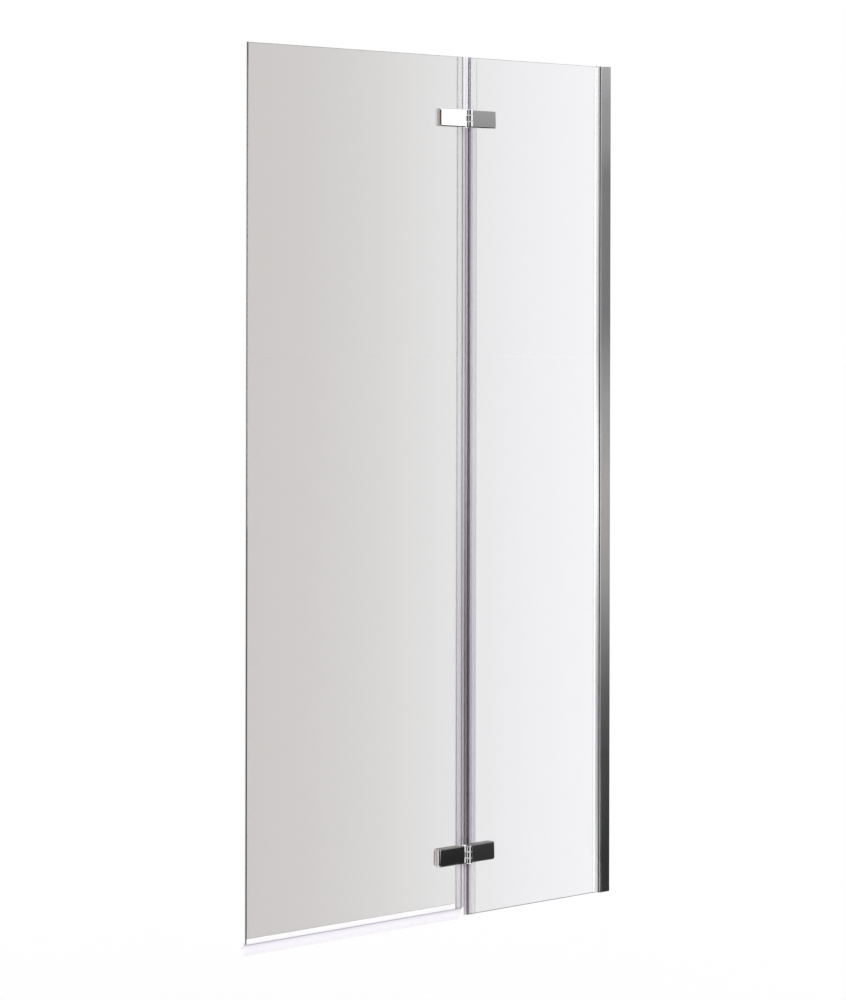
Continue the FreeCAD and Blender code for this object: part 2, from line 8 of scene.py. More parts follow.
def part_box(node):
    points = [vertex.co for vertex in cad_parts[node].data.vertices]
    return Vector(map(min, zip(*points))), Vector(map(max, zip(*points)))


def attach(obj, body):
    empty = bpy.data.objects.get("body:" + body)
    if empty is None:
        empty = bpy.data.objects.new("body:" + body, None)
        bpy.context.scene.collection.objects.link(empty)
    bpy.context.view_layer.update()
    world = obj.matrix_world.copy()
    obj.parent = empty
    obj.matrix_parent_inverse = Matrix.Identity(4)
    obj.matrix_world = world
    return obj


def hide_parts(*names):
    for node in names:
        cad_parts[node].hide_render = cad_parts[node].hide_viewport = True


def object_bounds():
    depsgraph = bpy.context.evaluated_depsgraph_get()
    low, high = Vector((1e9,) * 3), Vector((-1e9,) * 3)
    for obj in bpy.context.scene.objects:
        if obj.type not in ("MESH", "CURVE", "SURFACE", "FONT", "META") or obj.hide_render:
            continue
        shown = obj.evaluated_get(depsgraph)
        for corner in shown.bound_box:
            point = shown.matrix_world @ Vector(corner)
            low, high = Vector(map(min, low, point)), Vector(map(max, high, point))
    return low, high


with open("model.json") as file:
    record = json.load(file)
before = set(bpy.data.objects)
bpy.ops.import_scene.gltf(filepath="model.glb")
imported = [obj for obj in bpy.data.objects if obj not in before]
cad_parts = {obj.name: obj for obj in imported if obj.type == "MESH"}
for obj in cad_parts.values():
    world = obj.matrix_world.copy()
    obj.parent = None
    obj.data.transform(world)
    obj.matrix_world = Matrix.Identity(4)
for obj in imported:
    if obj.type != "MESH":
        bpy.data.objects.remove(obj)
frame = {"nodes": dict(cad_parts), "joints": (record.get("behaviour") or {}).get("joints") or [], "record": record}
cad_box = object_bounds()
nodes = frame["nodes"]

# Lengths are in metres
MM = 0.001
AXIS = Vector(frame["joints"][0]["pos_m"])
GLASS_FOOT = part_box("moving_glass")[0].z
leaf_boxes = [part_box(f"{level}_fixed_leaf") for level in ("upper", "lower")]

# The photograph's camera: a level view with the verticals kept upright by a shift
PICTURE_HEIGHT = 1000
EYE = Vector((-4.0741, -3.8915, 0.3085))
EYE_AZIMUTH = math.radians(-43.133)
EYE_ROLL = math.radians(0.112)
FOCAL_PIXELS = 3307.2
HORIZON_ABOVE_CENTRE = 203.0
SENSOR = 36.0
FAR_CLIP = 200

FLOOR_LEVEL = -1.25
FLOOR_HALF = 60.0


def linear(red, green, blue):
    """A colour given in the 0-255 scale of a picture, as scene-linear values."""
    def decode(channel):
        level = channel / 255
        return level / 12.92 if level <= 0.04045 else ((level + 0.055) / 1.055) ** 2.4
    return (decode(red), decode(green), decode(blue), 1.0)


def grey(level, warmth=0):
    return linear(level + warmth, level, level - warmth)


def dimmed(colour, share):
    return tuple(share * channel for channel in colour[:3]) + (1.0,)


class Graph:
    """The node tree of a material or of the world, empty at first."""

    def __init__(self, owner):
        owner.use_nodes = True
        self.owner = owner
        self.tree = owner.node_tree
        self.tree.nodes.clear()

    def add(self, kind, inputs=None, **settings):
        node = self.tree.nodes.new(f"ShaderNode{kind}")
        for key, setting in settings.items():
            setattr(node, key, setting)
        for key, source in (inputs or {}).items():
            if isinstance(source, bpy.types.NodeSocket):
                self.tree.links.new(source, node.inputs[key])
            else:
                node.inputs[key].default_value = source
        return node

    def place(self):
        """Object coordinates, which are the frame's own."""
        return self.add("TexCoord").outputs["Object"]

    def axis_of(self, letter):
        split = self.add("SeparateXYZ", {"Vector": self.place()})
        return split.outputs[letter]

    def ramp(self, factor, stops):
        """A colour ramp from (place, colour) stops."""
        node = self.add("ValToRGB", {"Fac": factor})
        elements = node.color_ramp.elements
        while len(elements) < len(stops):
            elements.new(0.5)
        for element, (position, colour) in zip(elements, stops):
            element.position = position
            element.color = colour
        return node.outputs["Color"]

    def spread(self, value, low, high, to_low=0.0, to_high=1.0):
        """A value's range mapped to another one, and held at its ends."""
        node = self.add("MapRange", {"Value": value, "From Min": low, "From Max": high,
                                     "To Min": to_low, "To Max": to_high})
        return node.outputs["Result"]

    def grain(self, texture, low, high):
        """A noise's usual range mapped to another one."""
        return self.spread(texture, 0.3, 0.7, low, high)

    def noise(self, scale, stretch=(1, 1, 1), detail=3.0):
        mapping = self.add("Mapping", {"Vector": self.place(), "Scale": stretch})
        node = self.add("TexNoise", {
            "Vector": mapping.outputs["Vector"], "Scale": scale, "Detail": detail})
        return node.outputs["Fac"]

    def bump(self, height, distance):
        node = self.add("Bump", {"Height": height, "Strength": 1.0, "Distance": distance})
        return node.outputs["Normal"]

    def math(self, operation, first, second=0.0):
        return self.add("Math", {0: first, 1: second}, operation=operation).outputs[0]

    def mix(self, factor, first, second, blend="MIX"):
        """A blend of two colours by a factor."""
        node = self.add("Mix", {0: factor, 6: first, 7: second}, data_type="RGBA", blend_type=blend)
        return node.outputs[2]

    def finish(self, shader):
        self.add("OutputMaterial", {"Surface": shader})
        return self.owner

    def finish_clear(self, shader, tint):
        """Ends a see-through material whose shadow is as light as its tint."""
        path = self.add("LightPath")
        through = self.add("BsdfTransparent", {"Color": tint})
        mix = self.add("MixShader", {0: path.outputs["Is Shadow Ray"], 1: shader,
                                     2: through.outputs["BSDF"]})
        return self.finish(mix.outputs["Shader"])


def material_graph(name):
    return Graph(bpy.data.materials.new(name))


# Materials


def painted_glass_edge_shade(graph):
    """Painted shade on the ground edges: grey-green at the front to white behind through the moving glass, and
    dark below to pale above on the fixed one.
    """
    depth = graph.spread(graph.axis_of("Y"), -3 * MM, 3 * MM)
    # Painted shade across the edge's depth: dark lines at the arrises, pale between them
    free_edge_painted_shade = graph.ramp(depth, [
        (0.0, linear(70, 84, 82)), (0.45, linear(96, 108, 106)), (0.6, linear(240, 244, 242)),
        (1.0, linear(250, 252, 251))])
    inner_top_painted_shade = graph.ramp(depth, [
        (0.0, grey(150)), (0.3, grey(215)), (0.6, grey(200)), (0.8, grey(70)), (1.0, grey(50))])
    inner_foot_painted_shade = graph.ramp(depth, [
        (0.0, linear(96, 88, 88)), (0.3, linear(50, 42, 44)), (1.0, linear(30, 24, 26))])
    # Painted shade on the fixed glass's edge: darker towards the foot, paler towards the top
    height = graph.spread(graph.axis_of("Z"), cad_box[0][2], cad_box[1][2])
    painted_shade_rise = graph.ramp(height, [(0.20, grey(0)), (0.75, grey(150)), (1.00, grey(255))])
    inner_edge_painted_shade = graph.mix(painted_shade_rise, inner_foot_painted_shade, inner_top_painted_shade)
    fixed_side = graph.math("GREATER_THAN", graph.axis_of("X"), AXIS.x)
    return graph.mix(fixed_side, free_edge_painted_shade, inner_edge_painted_shade)


def glass_material():
    """Toughened glass with ground edges: painted shade greys the panes at the free edge and clears towards the
    wall.
    """
    graph = material_graph("glass")
    # Painted shade: the tint is greyest at the free edge and clears towards the wall
    across = graph.spread(graph.axis_of("X"), cad_box[0][0], 0.0)
    tint = graph.ramp(across, [
        (0.00, linear(202, 198, 197)),
        (0.15, linear(205, 202, 201)),
        (0.34, linear(214, 212, 211)),
        (0.50, linear(224, 223, 223)),
        (0.62, linear(231, 231, 232)),
        (0.78, linear(238, 238, 241)),
        (0.96, linear(243, 243, 246)),
    ])
    pane = graph.add("BsdfPrincipled", {
        "Base Color": tint, "Roughness": 0.0, "IOR": 1.5, "Transmission Weight": 1.0})
    # The ground edges take painted shade rather than a colour of their own
    edge = graph.add("BsdfPrincipled", {
        "Base Color": painted_glass_edge_shade(graph), "IOR": 1.5,
        "Roughness": graph.grain(graph.noise(900, (1, 1, 0.05)), 0.08, 0.22)})
    normal = graph.add("SeparateXYZ", {"Vector": graph.add("TexCoord").outputs["Normal"]})
    facing = graph.math("ABSOLUTE", normal.outputs["Y"])
    at_edge = graph.math("LESS_THAN", facing, 0.5)
    both = graph.add("MixShader", {0: at_edge, 1: pane.outputs["BSDF"], 2: edge.outputs["BSDF"]})
    return graph.finish_clear(both.outputs["Shader"], linear(232, 234, 232))


def metal_material(name, colour, roughness, grain, grain_scale=300, grain_stretch=(1, 1, 0.02)):
    """Polished metal with fine drawing or polishing lines and faint clouding."""
    graph = material_graph(name)
    lines = graph.noise(grain_scale, grain_stretch)
    clouds = graph.noise(40, (1, 1, 0.4), 5.0)
    rough = graph.math("ADD", graph.grain(lines, roughness - grain, roughness + grain),
                       graph.grain(clouds, -0.4 * grain, 0.4 * grain))
    shader = graph.add("BsdfPrincipled", {
        "Base Color": graph.ramp(clouds, [(0.3, dimmed(colour, 0.97)), (0.7, colour)]),
        "Metallic": 1.0, "Roughness": rough, "Normal": graph.bump(lines, 0.002 * MM)})
    return graph.finish(shader.outputs["BSDF"])


def plain_material(name, colour, roughness):
    """A moulded plastic with a fine skin."""
    graph = material_graph(name)
    skin = graph.noise(400)
    clouds = graph.noise(30, (1, 1, 0.3))
    shader = graph.add("BsdfPrincipled", {
        "Base Color": graph.ramp(clouds, [(0.3, dimmed(colour, 0.9)), (0.7, colour)]),
        "Roughness": graph.grain(skin, roughness - 0.06, roughness + 0.06),
        "Normal": graph.bump(skin, 0.03 * MM)})
    return graph.finish(shader.outputs["BSDF"])


def clear_pvc(graph, tint, streaks, milk, painted_glow=None):
    """Clear soft PVC: light passes straight through, a little milk scatters, and the skin shines.

    With a painted glow, an emission stands in for the light of the glass it lies against.
    """
    through = graph.add("BsdfTransparent", {"Color": tint})
    body = graph.add("BsdfDiffuse", {"Color": tint, "Roughness": 0.3}).outputs["BSDF"]
    if painted_glow is not None:
        # Painted glow: an emission in the seal's own tint
        painted_light = graph.add("Emission", {"Color": tint, "Strength": painted_glow})
        body = graph.add("AddShader", {0: body, 1: painted_light.outputs["Emission"]}).outputs["Shader"]
    inside = graph.add("MixShader", {0: milk, 1: through.outputs["BSDF"], 2: body})
    normal = graph.bump(streaks, 0.02 * MM)
    skin = graph.add("BsdfGlossy", {
        "Color": (1, 1, 1, 1), "Roughness": graph.grain(streaks, 0.06, 0.16), "Normal": normal})
    rim = graph.add("Fresnel", {"IOR": 1.4, "Normal": normal})
    outside = graph.math("SUBTRACT", 1.0, graph.add("NewGeometry").outputs["Backfacing"])
    share = graph.math("MULTIPLY", rim.outputs["Fac"], outside)
    both = graph.add("MixShader", {0: share, 1: inside.outputs["Shader"], 2: skin.outputs["BSDF"]})
    return graph.finish_clear(both.outputs["Shader"], linear(250, 250, 252))


def seal_material():
    """The upright seals: clear over the glass, with painted shade where the walls of the noses lie edge on, deeper
    lower down.
    """
    graph = material_graph("clear_seal")
    out = graph.math("SUBTRACT", graph.axis_of("X"), AXIS.x)
    across = graph.spread(out, -23 * MM, 23 * MM)
    # All three ramps hold painted shade: darker bands where the walls of the noses and the legs' lips lie edge on
    ends = graph.ramp(across, [
        (0.020, grey(240)), (0.025, grey(255)), (0.340, linear(254, 253, 254)),
        (0.500, linear(252, 251, 253)), (0.660, linear(252, 251, 253)), (0.700, grey(254)),
        (0.965, grey(254)), (0.975, grey(236)),
    ])
    high = graph.ramp(across, [
        (0.020, grey(246)), (0.025, grey(254)), (0.280, grey(252)), (0.360, linear(246, 245, 247)),
        (0.480, linear(238, 236, 239)), (0.580, linear(232, 229, 232)),
        (0.680, linear(240, 238, 242)), (0.760, linear(243, 242, 245)),
        (0.960, linear(247, 246, 248)), (0.975, linear(236, 235, 237)),
    ])
    low = graph.ramp(across, [
        (0.020, grey(240)), (0.025, linear(252, 251, 253)), (0.200, linear(246, 245, 248)),
        (0.340, linear(242, 241, 244)), (0.500, linear(214, 211, 213)),
        (0.600, linear(206, 202, 204)), (0.680, linear(232, 230, 233)),
        (0.760, linear(235, 234, 237)), (0.960, linear(238, 237, 240)),
    ])
    # Painted shade: from the high ramp at the top to the darker low ramp lower down, with the lighter ends ramp
    # near the seal's ends
    drop = graph.spread(graph.axis_of("Z"), cad_box[1][2], cad_box[0][2])
    painted_shade_fall = graph.ramp(drop, [(0.10, grey(0)), (0.45, grey(110)), (0.7, grey(255))])
    near_end = graph.ramp(drop, [
        (0.070, grey(255)), (0.075, grey(0)), (0.925, grey(0)), (0.945, grey(200))])
    tint = graph.mix(near_end, graph.mix(painted_shade_fall, high, low), ends)
    return clear_pvc(graph, tint, graph.noise(1400, (1, 1, 0.004), 2.0), 0.02)


def wiper_material():
    """The same PVC in the bottom seal: milkier, drawn along it, darker along the glass's foot, and with a painted
    glow where it holds the glass.
    """
    graph = material_graph("clear_seal_bottom")
    streaks = graph.noise(1200, (0.004, 1, 1), 2.0)
    drawn = graph.ramp(streaks, [(0.3, linear(253, 252, 254)), (0.7, grey(255))])
    height = graph.spread(graph.axis_of("Z"), GLASS_FOOT - 20 * MM, GLASS_FOOT + 10 * MM)
    foot = graph.ramp(height, [
        (0.200, linear(253, 252, 254)), (0.620, linear(253, 252, 254)),
        (0.650, linear(218, 216, 226)), (0.680, linear(218, 216, 226)), (0.700, grey(255))])
    tint = graph.mix(1.0, drawn, foot, "MULTIPLY")
    # Painted glow: emission rising to 0.2 across a narrow band at the glass's foot
    return clear_pvc(graph, tint, streaks, 0.55, graph.spread(height, 0.66, 0.70, 0.0, 0.2))


def finish_soft_painted_glow(graph, shade, skin, painted_glow):
    """Ends a soft plastic with a painted glow, an emission that stands in for the light of the glass it lies
    against.
    """
    shader = graph.add("BsdfPrincipled", {
        "Base Color": shade, "Roughness": graph.grain(skin, 0.36, 0.5),
        "Normal": graph.bump(skin, 0.02 * MM), "Emission Color": shade, "Emission Strength": painted_glow})
    return graph.finish(shader.outputs["BSDF"])


def gasket_material():
    """Clear gasket: white behind, and in front a painted reflection, the greys of the metal that shows through it
    painted in bands by height, with a painted glow.
    """
    graph = material_graph("gasket")
    height = graph.spread(graph.axis_of("Z"), cad_box[0][2], cad_box[1][2])
    # Painted reflection: greys by height that copy the chrome's reflections seen through the gasket
    front = graph.ramp(height, [
        (0.00, grey(214)), (0.12, grey(180)), (0.26, grey(176)), (0.36, grey(200)),
        (0.47, grey(248)), (0.55, grey(240)), (0.66, grey(196)), (0.80, grey(208)),
        (1.00, grey(232))])
    rear = graph.math("GREATER_THAN", graph.axis_of("Y"), 0.0)
    shade = graph.mix(rear, front, grey(252))
    # Painted glow: an emission that grows from the front to the back
    painted_glow = graph.spread(graph.axis_of("Y"), -0.5 * MM, 0.5 * MM, 0.25, 0.7)
    return finish_soft_painted_glow(graph, shade, graph.noise(700, (1, 1, 0.05)), painted_glow)


def pad_material(colour):
    """The milky pads between the metal and the glass."""
    graph = material_graph("pad")
    clouds = graph.noise(60, (1, 1, 0.3))
    shade = graph.ramp(clouds, [(0.3, dimmed(colour, 0.94)), (0.7, colour)])
    # Painted glow: an emission of 0.4 lightens the pads where the clamps and leaves shade them
    return finish_soft_painted_glow(graph, shade, graph.noise(700), 0.4)


finishes = {
    "glass": glass_material(),
    "polished_profile": metal_material("polished_profile", linear(240, 240, 241), 0.02, 0.006),
    "chrome": metal_material("chrome", linear(248, 248, 250), 0.014, 0.006, 500, (0.05, 1, 1)),
    "chromed_plastic": metal_material(
        "chromed_plastic", linear(236, 236, 238), 0.05, 0.02, 600, (1, 1, 1)),
    "steel": metal_material("steel", linear(205, 205, 206), 0.16, 0.05, 900, (1, 1, 1)),
    "gasket": gasket_material(),
    "pad": pad_material(linear(226, 219, 206)),
    "nylon": plain_material("nylon", linear(226, 226, 220), 0.4),
    "clear_seal": seal_material(),
    "clear_seal_bottom": wiper_material(),
}


def dress(obj, finish):
    obj.data.materials.clear()
    obj.data.materials.append(finishes[finish])


slots = {part["node"]: part["material_slot"] for part in frame["record"]["subparts"]}
for name, node in nodes.items():
    dress(node, slots[name])


# Edges of the metal

BARREL = 6 * MM
KNUCKLE_ROUND = 1.3 * MM
HINGE_EDGE = 0.3 * MM
PROFILE_EDGE = 0.25 * MM
PROFILE_METAL = ("wall_channel", "glass_channel", "profile_top_cap", "channel_side_screws")
HINGE_FASTENERS = ("hinge_pins", "fixed_hinge_screws", "moving_hinge_screws")


def weld(obj):
    """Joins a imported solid's faces along their shared edges, so that bevels can round these."""
    joint = obj.modifiers.new("weld", "WELD")
    joint.merge_threshold = 0.002 * MM


def soften(obj, width, segments=2):
    """Rounds an object's sharp edges a little."""
    bevel = obj.modifiers.new("edges", "BEVEL")
    bevel.width = width
    bevel.segments = segments
    bevel.limit_method = "ANGLE"
    bevel.angle_limit = math.radians(35)
    bevel.harden_normals = True
    for polygon in obj.data.polygons:
        polygon.use_smooth = True
    flat = obj.modifiers.new("flat_faces", "WEIGHTED_NORMAL")
    flat.weight = 100
    flat.keep_sharp = True


def mark_knuckle_ends(obj):
    """Weights the level edges at the barrel's own radius, which are the ends of its knuckles."""
    mesh = obj.data
    weights = mesh.attributes.new("bevel_weight_edge", "FLOAT", "EDGE")
    for edge in mesh.edges:
        first, second = (obj.matrix_world @ mesh.vertices[number].co for number in edge.vertices)
        round_it = abs(first.z - second.z) < 0.01 * MM
        for place in (first, second):
            reach = math.hypot(place.x - AXIS.x, place.y - AXIS.y)
            round_it = round_it and abs(reach - BARREL) < 0.05 * MM
        weights.data[edge.index].value = 1.0 if round_it else 0.0


def round_knuckles(obj):
    bevel = obj.modifiers.new("knuckle_ends", "BEVEL")
    bevel.width = KNUCKLE_ROUND
    bevel.segments = 5
    bevel.limit_method = "WEIGHT"
    bevel.use_clamp_overlap = False


for name, node in nodes.items():
    if name in PROFILE_METAL:
        weld(node)
        soften(node, PROFILE_EDGE)
    elif name.endswith(("_leaf", "_clamp")) or name in HINGE_FASTENERS:
        weld(node)
        if name.endswith("_leaf"):
            mark_knuckle_ends(node)
            round_knuckles(node)
        soften(node, HINGE_EDGE, 3)


# Soft pieces


def extrusion(name, loops, matrix, length, round_edge=0.1 * MM):
    """A section of closed loops, drawn in its own plane and pulled along that plane's normal."""
    curve = bpy.data.curves.new(name, "CURVE")
    curve.dimensions = "2D"
    curve.fill_mode = "BOTH"
    curve.extrude = length / 2 - round_edge
    curve.bevel_depth = round_edge
    curve.bevel_resolution = 1
    curve.offset = -round_edge
    for loop in loops:
        spline = curve.splines.new("POLY")
        spline.points.add(len(loop) - 1)
        for point, (across, up) in zip(spline.points, loop):
            point.co = (across, up, 0, 1)
        spline.use_cyclic_u = True
    holder = bpy.data.objects.new(name, curve)
    bpy.context.scene.collection.objects.link(holder)
    depsgraph = bpy.context.evaluated_depsgraph_get()
    mesh = bpy.data.meshes.new_from_object(holder.evaluated_get(depsgraph))
    bpy.data.objects.remove(holder)
    mesh.transform(matrix)
    mesh.name = name
    piece = bpy.data.objects.new(name, mesh)
    bpy.context.scene.collection.objects.link(piece)
    return piece


def arc(centre, radius, start, end, steps):
    """Points on an arc, from one angle in degrees to another."""
    turns = [math.radians(start + (end - start) * number / steps) for number in range(steps + 1)]
    return [(centre[0] + radius * math.cos(turn), centre[1] + radius * math.sin(turn))
            for turn in turns]


# The upright seals: distances out from the hinge axis, and across from the glass's middle
GLASS_HALF = 3.05 * MM
SEAL_SKIN = 4.0 * MM
NOSE_WALL = 0.8 * MM
NOSE_TIP = 0.2 * MM
CLIP_START = 7 * MM
GLASS_START = 8 * MM
LEG_END = {"moving": 23.7 * MM, "fixed": 22.5 * MM}
LEG_LIP = 0.5 * MM
REAR_LEG_SHORTER = 5 * MM
SEAL_HINGE_GAP = 0.3 * MM
NEAR_HINGE = 4 * MM


def edge_seal_section(panel):
    """The clip with its nose, and the hollow in the nose."""
    centre = (NOSE_TIP + SEAL_SKIN, 0)
    chamber = SEAL_SKIN - NOSE_WALL
    leg_end = LEG_END[panel]
    clip = [(GLASS_START, GLASS_HALF), (leg_end - LEG_LIP, GLASS_HALF)]
    clip += arc((leg_end - LEG_LIP, SEAL_SKIN - LEG_LIP), LEG_LIP, -90, 90, 6)
    other = [(out - REAR_LEG_SHORTER if out > GLASS_START else out, -across)
             for out, across in reversed(clip)]
    outline = clip + arc(centre, SEAL_SKIN, 90, 270, 24) + other
    hollow = [(CLIP_START, -chamber)] + arc(centre, chamber, 270, 90, 20) + [(CLIP_START, chamber)]
    return [outline, hollow]


def up_to_hinge(end):
    """The end of a seal's length, taken on to just short of the hinge that it meets."""
    for leaf_low, leaf_high in leaf_boxes:
        for edge, way in ((leaf_high.z, 1), (leaf_low.z, -1)):
            if abs(end - edge) < NEAR_HINGE:
                return edge + way * SEAL_HINGE_GAP
    return end


def make_edge_seal(node):
    low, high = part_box(node)
    low.z = up_to_hinge(low.z)
    high.z = up_to_hinge(high.z)
    side = -1 if high.x < AXIS.x else 1
    section = edge_seal_section("moving" if side < 0 else "fixed")
    loops = [[(side * out, -across) for out, across in loop] for loop in section]
    middle = Matrix.Translation((AXIS.x, 0, (low.z + high.z) / 2))
    piece = extrusion(f"{node}_pvc", loops, middle, high.z - low.z)
    dress(piece, "clear_seal")
    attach(piece, "moving_panel" if side < 0 else "fixed_panel")
    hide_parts(node)


for panel in ("fixed", "moving"):
    for part in ("top", "middle", "bottom"):
        make_edge_seal(f"{panel}_seal_{part}")


# The bottom seal: sections in Y and Z, with Z measured from the glass's foot
BAR = 1 * MM
BAR_ROUND = 0.3 * MM
BOTTOM_LEG = 9 * MM
BOTTOM_LIP = 0.45 * MM
NOTCH = 16.1 * MM
ROOT = 0.2 * MM
WIPER_DROP = 17.5 * MM
WIPER_LEAN = 6 * MM
WIPER_HALF = 0.5 * MM
WIPER_BEAD = 0.62 * MM
DRIP_REACH = 11.4 * MM
DRIP_DROP = 7.5 * MM
DRIP_ROUND = 0.4 * MM


def clip_outline():
    """The bar under the glass and its two legs, with rounded ends and two shallow grooves below."""
    side = [(-GLASS_HALF, 0), (-GLASS_HALF, BOTTOM_LEG - BOTTOM_LIP)]
    side += arc((-SEAL_SKIN + BOTTOM_LIP, BOTTOM_LEG - BOTTOM_LIP), BOTTOM_LIP, 0, 180, 6)
    side += [(-SEAL_SKIN, -BAR + BAR_ROUND), (-SEAL_SKIN + BAR_ROUND, -BAR)]
    groove = [(-1.6 * MM, -BAR), (-1.3 * MM, -BAR + 0.25 * MM), (-0.8 * MM, -BAR)]
    left = side + groove
    right = [(-across, up) for across, up in reversed(left)]
    return left + right


def bar_outline():
    """The bar alone, where the legs are cut back for the upright seal."""
    left = [(-SEAL_SKIN, -0.05 * MM), (-SEAL_SKIN, -BAR + BAR_ROUND),
            (-SEAL_SKIN + BAR_ROUND, -BAR)]
    return left + [(-across, up) for across, up in reversed(left)]


def wiper_outline():
    """The fin below the bar, from its foot on the bar to a small bead at the tip."""
    radius = (WIPER_DROP ** 2 + WIPER_LEAN ** 2) / (2 * WIPER_LEAN)
    end = math.degrees(math.asin(WIPER_DROP / radius))
    front = arc((radius, -BAR), radius + WIPER_HALF, 180, 180 + end, 14)
    back = arc((radius, -BAR), radius - WIPER_HALF, 180 + end, 180, 14)
    front[0] = (front[0][0], -BAR + ROOT)
    back[-1] = (back[-1][0], -BAR + ROOT)
    tip = ((front[-1][0] + back[0][0]) / 2, (front[-1][1] + back[0][1]) / 2)
    bead = arc(tip, WIPER_BEAD, 180 + end, 360 + end, 8)
    return front[:-1] + bead + back[1:]


def drip_outline():
    """The short fin that carries drips back over the bath, thick at its root, with a round edge."""
    tip = (DRIP_REACH - DRIP_ROUND, -BAR - DRIP_DROP + DRIP_ROUND)
    root = [(SEAL_SKIN - 2 * MM, -BAR + ROOT), (SEAL_SKIN - 0.1 * MM, -BAR + ROOT)]
    return root + [(DRIP_REACH, tip[1] + DRIP_ROUND)] + arc(tip, DRIP_ROUND, 0, -120, 5)


def make_bottom_piece(name, outline, outer, inner):
    """A section of the bottom seal, pulled along X between two places."""
    turn = Matrix(((0, 0, 1), (1, 0, 0), (0, 1, 0))).to_4x4()
    middle = Matrix.Translation(((outer + inner) / 2, 0, GLASS_FOOT))
    piece = extrusion(name, [outline], middle @ turn, inner - outer)
    dress(piece, "clear_seal_bottom")
    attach(piece, "moving_panel")
    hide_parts("bottom_seal")


bottom_low, bottom_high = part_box("bottom_seal")
notch = bottom_high.x - NOTCH
make_bottom_piece("bottom_seal_clip", clip_outline(), bottom_low.x, notch)
make_bottom_piece("bottom_seal_bar", bar_outline(), notch, bottom_high.x)
make_bottom_piece("bottom_seal_wiper", wiper_outline(), bottom_low.x, bottom_high.x)
make_bottom_piece("bottom_seal_drip", drip_outline(), bottom_low.x, bottom_high.x)


GASKET_HALF = 5.45 * MM
GASKET_BEAD = 1.3 * MM
GASKET_LIP = 0.4 * MM
GASKET_PLAY = 0.05 * MM


def make_gasket():
    """The gasket in the profile: a U round the glass's end, with a bead along the glass's front."""
    low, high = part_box("glazing_gasket")
    lip_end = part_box("glass_channel")[0].x
    glass_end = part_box("fixed_glass")[1].x
    side = GASKET_HALF
    lip = GASKET_LIP
    floor = high.x - GASKET_PLAY
    against_glass = glass_end + GASKET_PLAY
    front = [(floor, -side), (lip_end, -side), (lip_end, -side - lip)]
    front += [(lip_end - 0.6 * MM, -side - lip)]
    front += arc((low.x + GASKET_BEAD, -GLASS_HALF - GASKET_BEAD), GASKET_BEAD, 230, 120, 8)
    front += [(low.x + GASKET_BEAD + lip, -GLASS_HALF), (against_glass, -GLASS_HALF)]
    rear = [(against_glass, GLASS_HALF), (lip_end + lip, GLASS_HALF), (lip_end + lip, side),
            (floor, side)]
    middle = Matrix.Translation((0, 0, (low.z + high.z) / 2))
    piece = extrusion("glazing_gasket_clear", [front + rear], middle, high.z - low.z, 0.05 * MM)
    dress(piece, "gasket")
    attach(piece, "fixed_panel")
    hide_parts("glazing_gasket")


make_gasket()


PAD_INSET = 1 * MM
PAD_CORNER = 2 * MM
PAD_MIDDLE = 3.5 * MM
PAD_THICKNESS = 0.98 * MM
PAD_EDGE = 0.12 * MM
PAD_HOLE = 3.1 * MM
COLLAR_RADIUS = 6.9 * MM
COLLAR_LENGTH = 5.8 * MM
SCREW_PLACE = 36 * MM


def rounded_plate(low, high, corner):
    """A rounded rectangle from its two corners."""
    places = []
    for x, z, turn in ((high[0] - corner, low[1] + corner, -90),
                       (high[0] - corner, high[1] - corner, 0),
                       (low[0] + corner, high[1] - corner, 90),
                       (low[0] + corner, low[1] + corner, 180)):
        places += arc((x, z), corner, turn, turn + 90, 5)
    return places


def join(pieces, name):
    """Takes several objects up into the first one, under a new name."""
    vertices = []
    faces = []
    for piece in pieces:
        start = len(vertices)
        vertices += [vertex.co.copy() for vertex in piece.data.vertices]
        faces += [[start + number for number in polygon.vertices]
                  for polygon in piece.data.polygons]
    whole = pieces[0]
    for piece in pieces[1:]:
        bpy.data.objects.remove(piece)
    whole.data = bpy.data.meshes.new(name)
    whole.data.from_pydata(vertices, [], faces)
    whole.name = name
    return whole


def make_pads(side):
    """Thin pads with rounded corners and edges, and the collars that line the glass's holes."""
    way = 1 if side == "fixed" else -1
    pieces = []
    upright = Matrix(((1, 0, 0), (0, 0, -1), (0, 1, 0))).to_4x4()
    for level in ("upper", "lower"):
        clamp_low, clamp_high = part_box(f"{level}_{side}_clamp")
        low = (clamp_low.x + PAD_INSET, clamp_low.z + PAD_INSET)
        high = (clamp_high.x - PAD_INSET, clamp_high.z - PAD_INSET)
        if side == "fixed":
            low = (clamp_low.x, low[1])
        else:
            high = (clamp_high.x, high[1])
        screw = (AXIS.x + way * SCREW_PLACE, (clamp_low.z + clamp_high.z) / 2)
        hole = arc(screw, PAD_HOLE, 0, 345, 23)
        plate = [rounded_plate(low, high, PAD_CORNER), hole]
        for face, depth in (("front", -PAD_MIDDLE), ("back", PAD_MIDDLE)):
            place = Matrix.Translation((0, depth, 0)) @ upright
            name = f"pad_{level}_{side}_{face}"
            pieces.append(extrusion(name, plate, place, PAD_THICKNESS, PAD_EDGE))
        ring = [arc(screw, COLLAR_RADIUS, 0, 350, 35), hole]
        pieces.append(extrusion(f"collar_{level}_{side}", ring, upright, COLLAR_LENGTH))
    whole = join(pieces, f"{side}_pads_soft")
    dress(whole, "pad")
    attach(whole, f"{side}_panel")
    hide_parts(f"{side}_hinge_pads")


for side in ("fixed", "moving"):
    make_pads(side)


# Studio: cards that only mirrors show, each where a face of the metal looks for its reflection

# How far behind its mirror a reflected card stands, as a share of the eye's distance
CARD_REACH = 0.35


